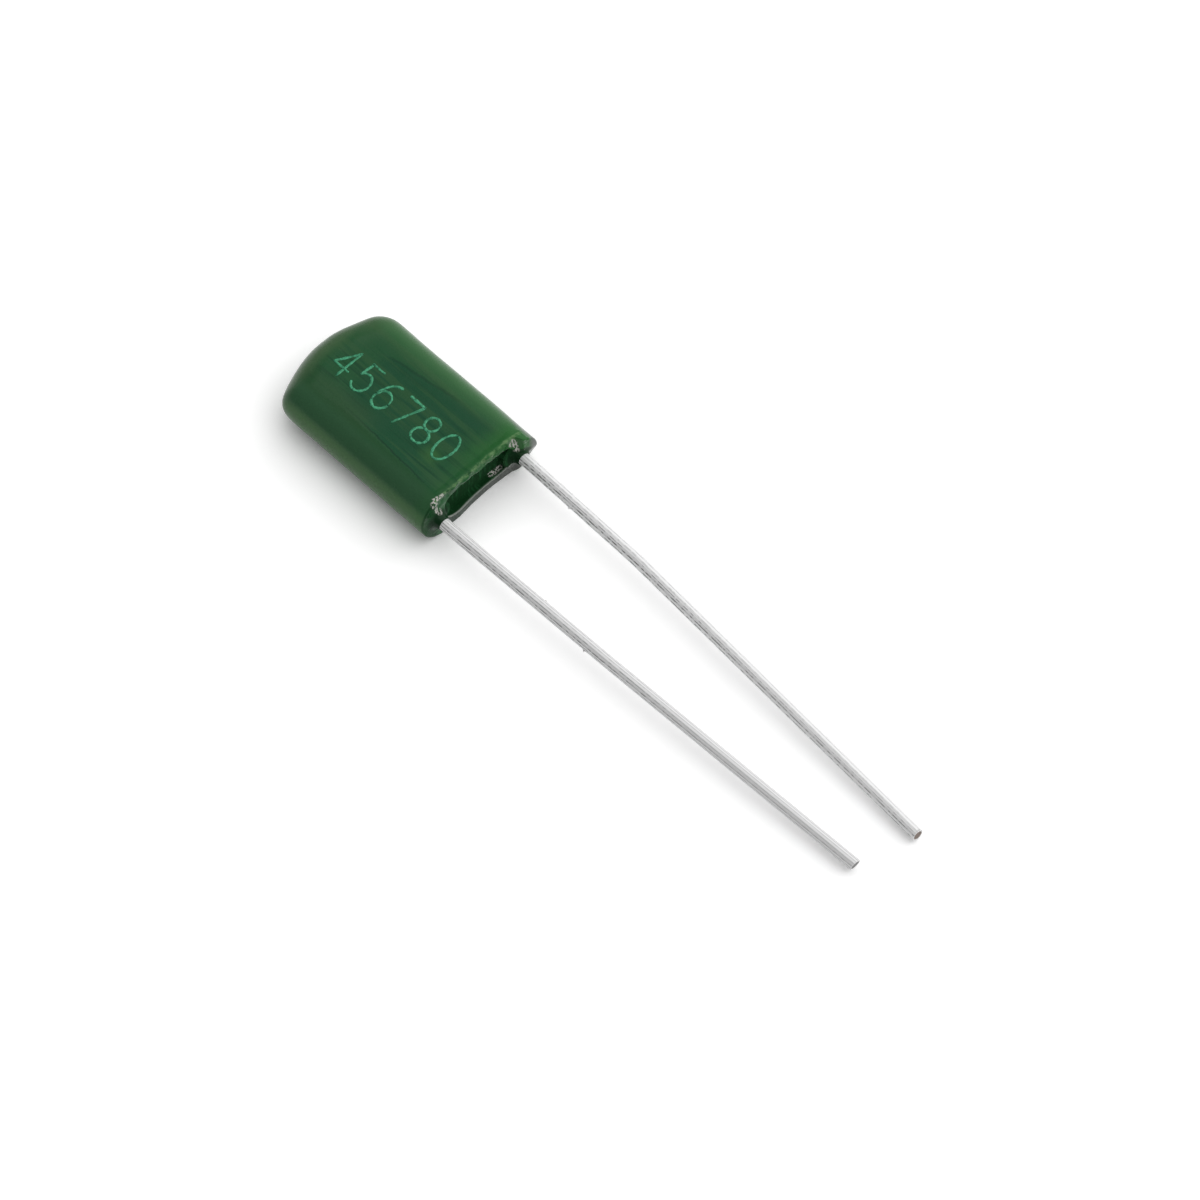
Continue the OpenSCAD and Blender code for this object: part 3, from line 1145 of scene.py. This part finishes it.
# Each digit is one or more runs of the pen in a unit box
digitRuns = {
    "0": [arcPoints(0.5, 0.5, 0.5, 0.5, 90, 450)],
    "4": [[(0.72, 0.0), (0.72, 1.0)], [(0.72, 1.0), (0.0, 0.3)], [(0.0, 0.3), (1.0, 0.3)]],
    "5": [
        [(0.92, 1.0), (0.16, 1.0)],
        [(0.16, 1.0), (0.08, 0.54)],
        arcPoints(0.45, 0.33, 0.5, 0.33, 138, -148),
    ],
    "6": [arcPoints(0.82, 0.34, 0.8, 0.66, 92, 180), arcPoints(0.5, 0.32, 0.48, 0.32, 0, 360)],
    "7": [[(0.0, 1.0), (1.0, 1.0)], [(1.0, 1.0), (0.36, 0.0)]],
    "8": [arcPoints(0.5, 0.755, 0.4, 0.245, 0, 360), arcPoints(0.5, 0.255, 0.5, 0.255, 0, 360)],
}


# Height of the coat's upper side
def coatTop(x, y, rounds=4, probe=0.004, flattest=0.5):
    z = np.full_like(x, coatHigh[2])
    for _ in range(rounds):
        value = coatField(x, y, z)
        slope = (coatField(x, y, z + probe) - coatField(x, y, z - probe)) / (2 * probe)
        z = z - value / np.maximum(slope, flattest)
    return z


# Thin closed strip along a run, with round ends, laid on the coat
def penStrip(run, layer):
    line, spots = spreadAlong(run, markSet["step"])
    ahead = headings(line)
    aside = np.stack([-ahead[:, 1], ahead[:, 0]], -1)
    uneven = latticeNoise(line[:, 0], line[:, 1], 0 * spots + layer, *markSet["unevenLumps"])
    widths = markSet["stroke"] / 2 * (1 + markSet["unevenShare"] * uneven)
    edges = []
    for sign in (1, -1):
        edge = [p + sign * a * w for p, a, w in zip(line, aside, widths)]
        for turn in np.radians(markSet["capAngles"]):
            forth, out = math.cos(turn), sign * math.sin(turn)
            first = line[0] + (aside[0] * out - ahead[0] * forth) * widths[0]
            last = line[-1] + (aside[-1] * out + ahead[-1] * forth) * widths[-1]
            edge = [first] + edge + [last]
        edges.append(edge)
    plan = np.array(edges)
    x, y = plan[..., 0].ravel(), plan[..., 1].ravel()
    top = coatTop(x, y)
    upper, lower = (
        np.stack([x, y, top + lift], -1).reshape(plan.shape[:2] + (3,))
        for lift in (markSet["proud"], -markSet["sunk"])
    )
    ring = np.stack([upper[0], upper[1], lower[1], lower[0]], 1)
    last = 4 * (len(ring) - 1)
    ends = [(3, 2, 1, 0), (last, last + 1, last + 2, last + 3)]
    return ring.reshape(-1, 3), ringFaces(len(ring), 4) + ends


def inkMaterial():
    material, tree = newMaterial("paleInk")
    here = objectInMm(tree)
    patchy = rampNode(tree, noiseNode(tree, here, *markSet["patches"]), *markSet["patchSpan"])
    speckle = noiseNode(tree, here, *markSet["speckles"])
    speckle = rampNode(tree, speckle, *markSet["speckleSpan"], *markSet["speckleDepth"])
    cover = mathNode(tree, "MULTIPLY", patchy, speckle)
    colour = mixColour(tree, cover, rgb(*markSet["wornInk"]), rgb(*markSet["fullInk"]))
    finish = {"Roughness": markSet["roughness"], "Specular IOR Level": markSet["specular"]}
    finishWith(tree, {"Base Color": colour, **finish})
    return material


def addMark():
    points, faces = [], []
    for place, digit in enumerate(markSet["digits"]):
        left = xEnd + markSet["start"] + place * markSet["advance"]
        for count, run in enumerate(digitRuns[digit]):
            spots = np.array(run) * (markSet["width"], markSet["height"]) + (left, markSet["base"])
            strip, quads = penStrip(spots, place + markSet["layerStep"] * count)
            start = sum(len(p) for p in points)
            points.append(strip)
            faces += [[corner + start for corner in quad] for quad in quads]
    mark = meshPiece("printedDigits", np.concatenate(points), faces, inkMaterial())
    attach(mark, "root")
    print("mark:", len(faces), "faces")


addMark()


# Wound film and foil, sealed in the coat
filmSet = {
    "stretch": (0.3, 3, 14),
    "detail": 3,
    "dark": (0.5, 0.52, 0.46),
    "pale": (0.68, 0.7, 0.64),
    "roughness": 0.4,
    # Strength and depth
    "bump": (0.3, 0.05),
}


def filmMaterial():
    material, tree = newMaterial("woundFilm")
    turns = noiseNode(tree, objectInMm(tree, filmSet["stretch"]), 1.0, filmSet["detail"])
    colour = mixColour(tree, turns, rgb(*filmSet["dark"]), rgb(*filmSet["pale"]))
    normal = bumpNode(tree, turns, *filmSet["bump"])
    finishWith(tree, {"Base Color": colour, "Roughness": filmSet["roughness"], "Normal": normal})
    return material


def dressWinding():
    film = filmMaterial()
    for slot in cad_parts["film_winding"].material_slots:
        slot.material = film
    print("winding dressed")


dressWinding()

# Pale floor with painted shadow near the part, and soft light from the right lead's side
stageSet = {
    "floorSize": 3000.0,
    "floorDrop": 0.01,
    "floorTones": (0.95, 0.9595),
    "floorScale": 0.02,
    "floorLift": 0.41,
    # Reach, power and samples of the painted shadow on the floor near the part
    "paintedShadowReach": 3.0,
    "paintedShadowPower": 1.4,
    "paintedShadowSamples": 4,
    "keyDirection": (0.27, 0.45, 0.85),
    "keyDistance": 1200.0,
    "keySize": 2000.0,
    "keyPower": 13.5,
    "skyLow": 0.18,
    "skyMid": 0.4,
    "skyHigh": 0.8,
    "skyDim": (-0.85, -0.1),
    "skyGain": (0.4, 0.95),
}


def floorMaterial():
    material, tree = newMaterial("paleFloor")
    here = objectInMm(tree)
    shade = noiseNode(tree, here, stageSet["floorScale"])
    colour = mixColour(tree, shade, *(grey(tone) for tone in stageSet["floorTones"]))
    matte = addNode(tree, "ShaderNodeBsdfDiffuse", {"Color": colour})
    path = addNode(tree, "ShaderNodeLightPath").outputs
    times, _, larger = nodeSums(tree)
    seen = larger(path["Is Camera Ray"], path["Is Glossy Ray"], path["Is Transmission Ray"])
    # The floor's lift fades near the part: painted contact shadow
    near = {"Distance": stageSet["paintedShadowReach"] * mm}
    clear = addNode(tree, "ShaderNodeAmbientOcclusion", near, samples=stageSet["paintedShadowSamples"])
    clear = mathNode(tree, "POWER", clear.outputs["AO"], stageSet["paintedShadowPower"])
    lift = times(seen, clear, stageSet["floorLift"])
    glow = addNode(tree, "ShaderNodeEmission", {"Strength": lift})
    both = addNode(tree, "ShaderNodeAddShader", {0: matte.outputs[0], 1: glow.outputs[0]})
    addNode(tree, "ShaderNodeOutputMaterial", {"Surface": both.outputs[0]})
    return material


def addStage():
    half = stageSet["floorSize"] / 2
    low = -stageSet["floorDrop"]
    corners = [(-half, -half, low), (half, -half, low), (half, half, low), (-half, half, low)]
    meshPiece("floor", corners, [(0, 1, 2, 3)], floorMaterial())
    data = bpy.data.lights.new("keyLight", "AREA")
    data.shape = "SQUARE"
    data.size = stageSet["keySize"] * mm
    data.energy = stageSet["keyPower"]
    direction = Vector(stageSet["keyDirection"]).normalized()
    setBack(addObject("keyLight", data), direction, stageSet["keyDistance"])
    world = bpy.data.worlds.new("studio")
    bpy.context.scene.world = world
    world.use_nodes = True
    tree = world.node_tree
    tree.nodes.clear()
    here = addNode(tree, "ShaderNodeTexCoord").outputs["Generated"]
    towards = partsOf(tree, here)["Y"]
    low, mid, high = (stageSet[key] for key in ("skyLow", "skyMid", "skyHigh"))
    dim = rampNode(tree, towards, *stageSet["skyDim"], low, mid)
    gain = rampNode(tree, towards, *stageSet["skyGain"], 0, high - mid)
    level = mathNode(tree, "ADD", dim, gain)
    sky = addNode(tree, "ShaderNodeBackground", {"Color": rgb(1, 1, 1), "Strength": level})
    addNode(tree, "ShaderNodeOutputWorld", {"Surface": sky.outputs[0]})
    bpy.context.scene.view_settings.view_transform = "Standard"
    print("stage set")


addStage()
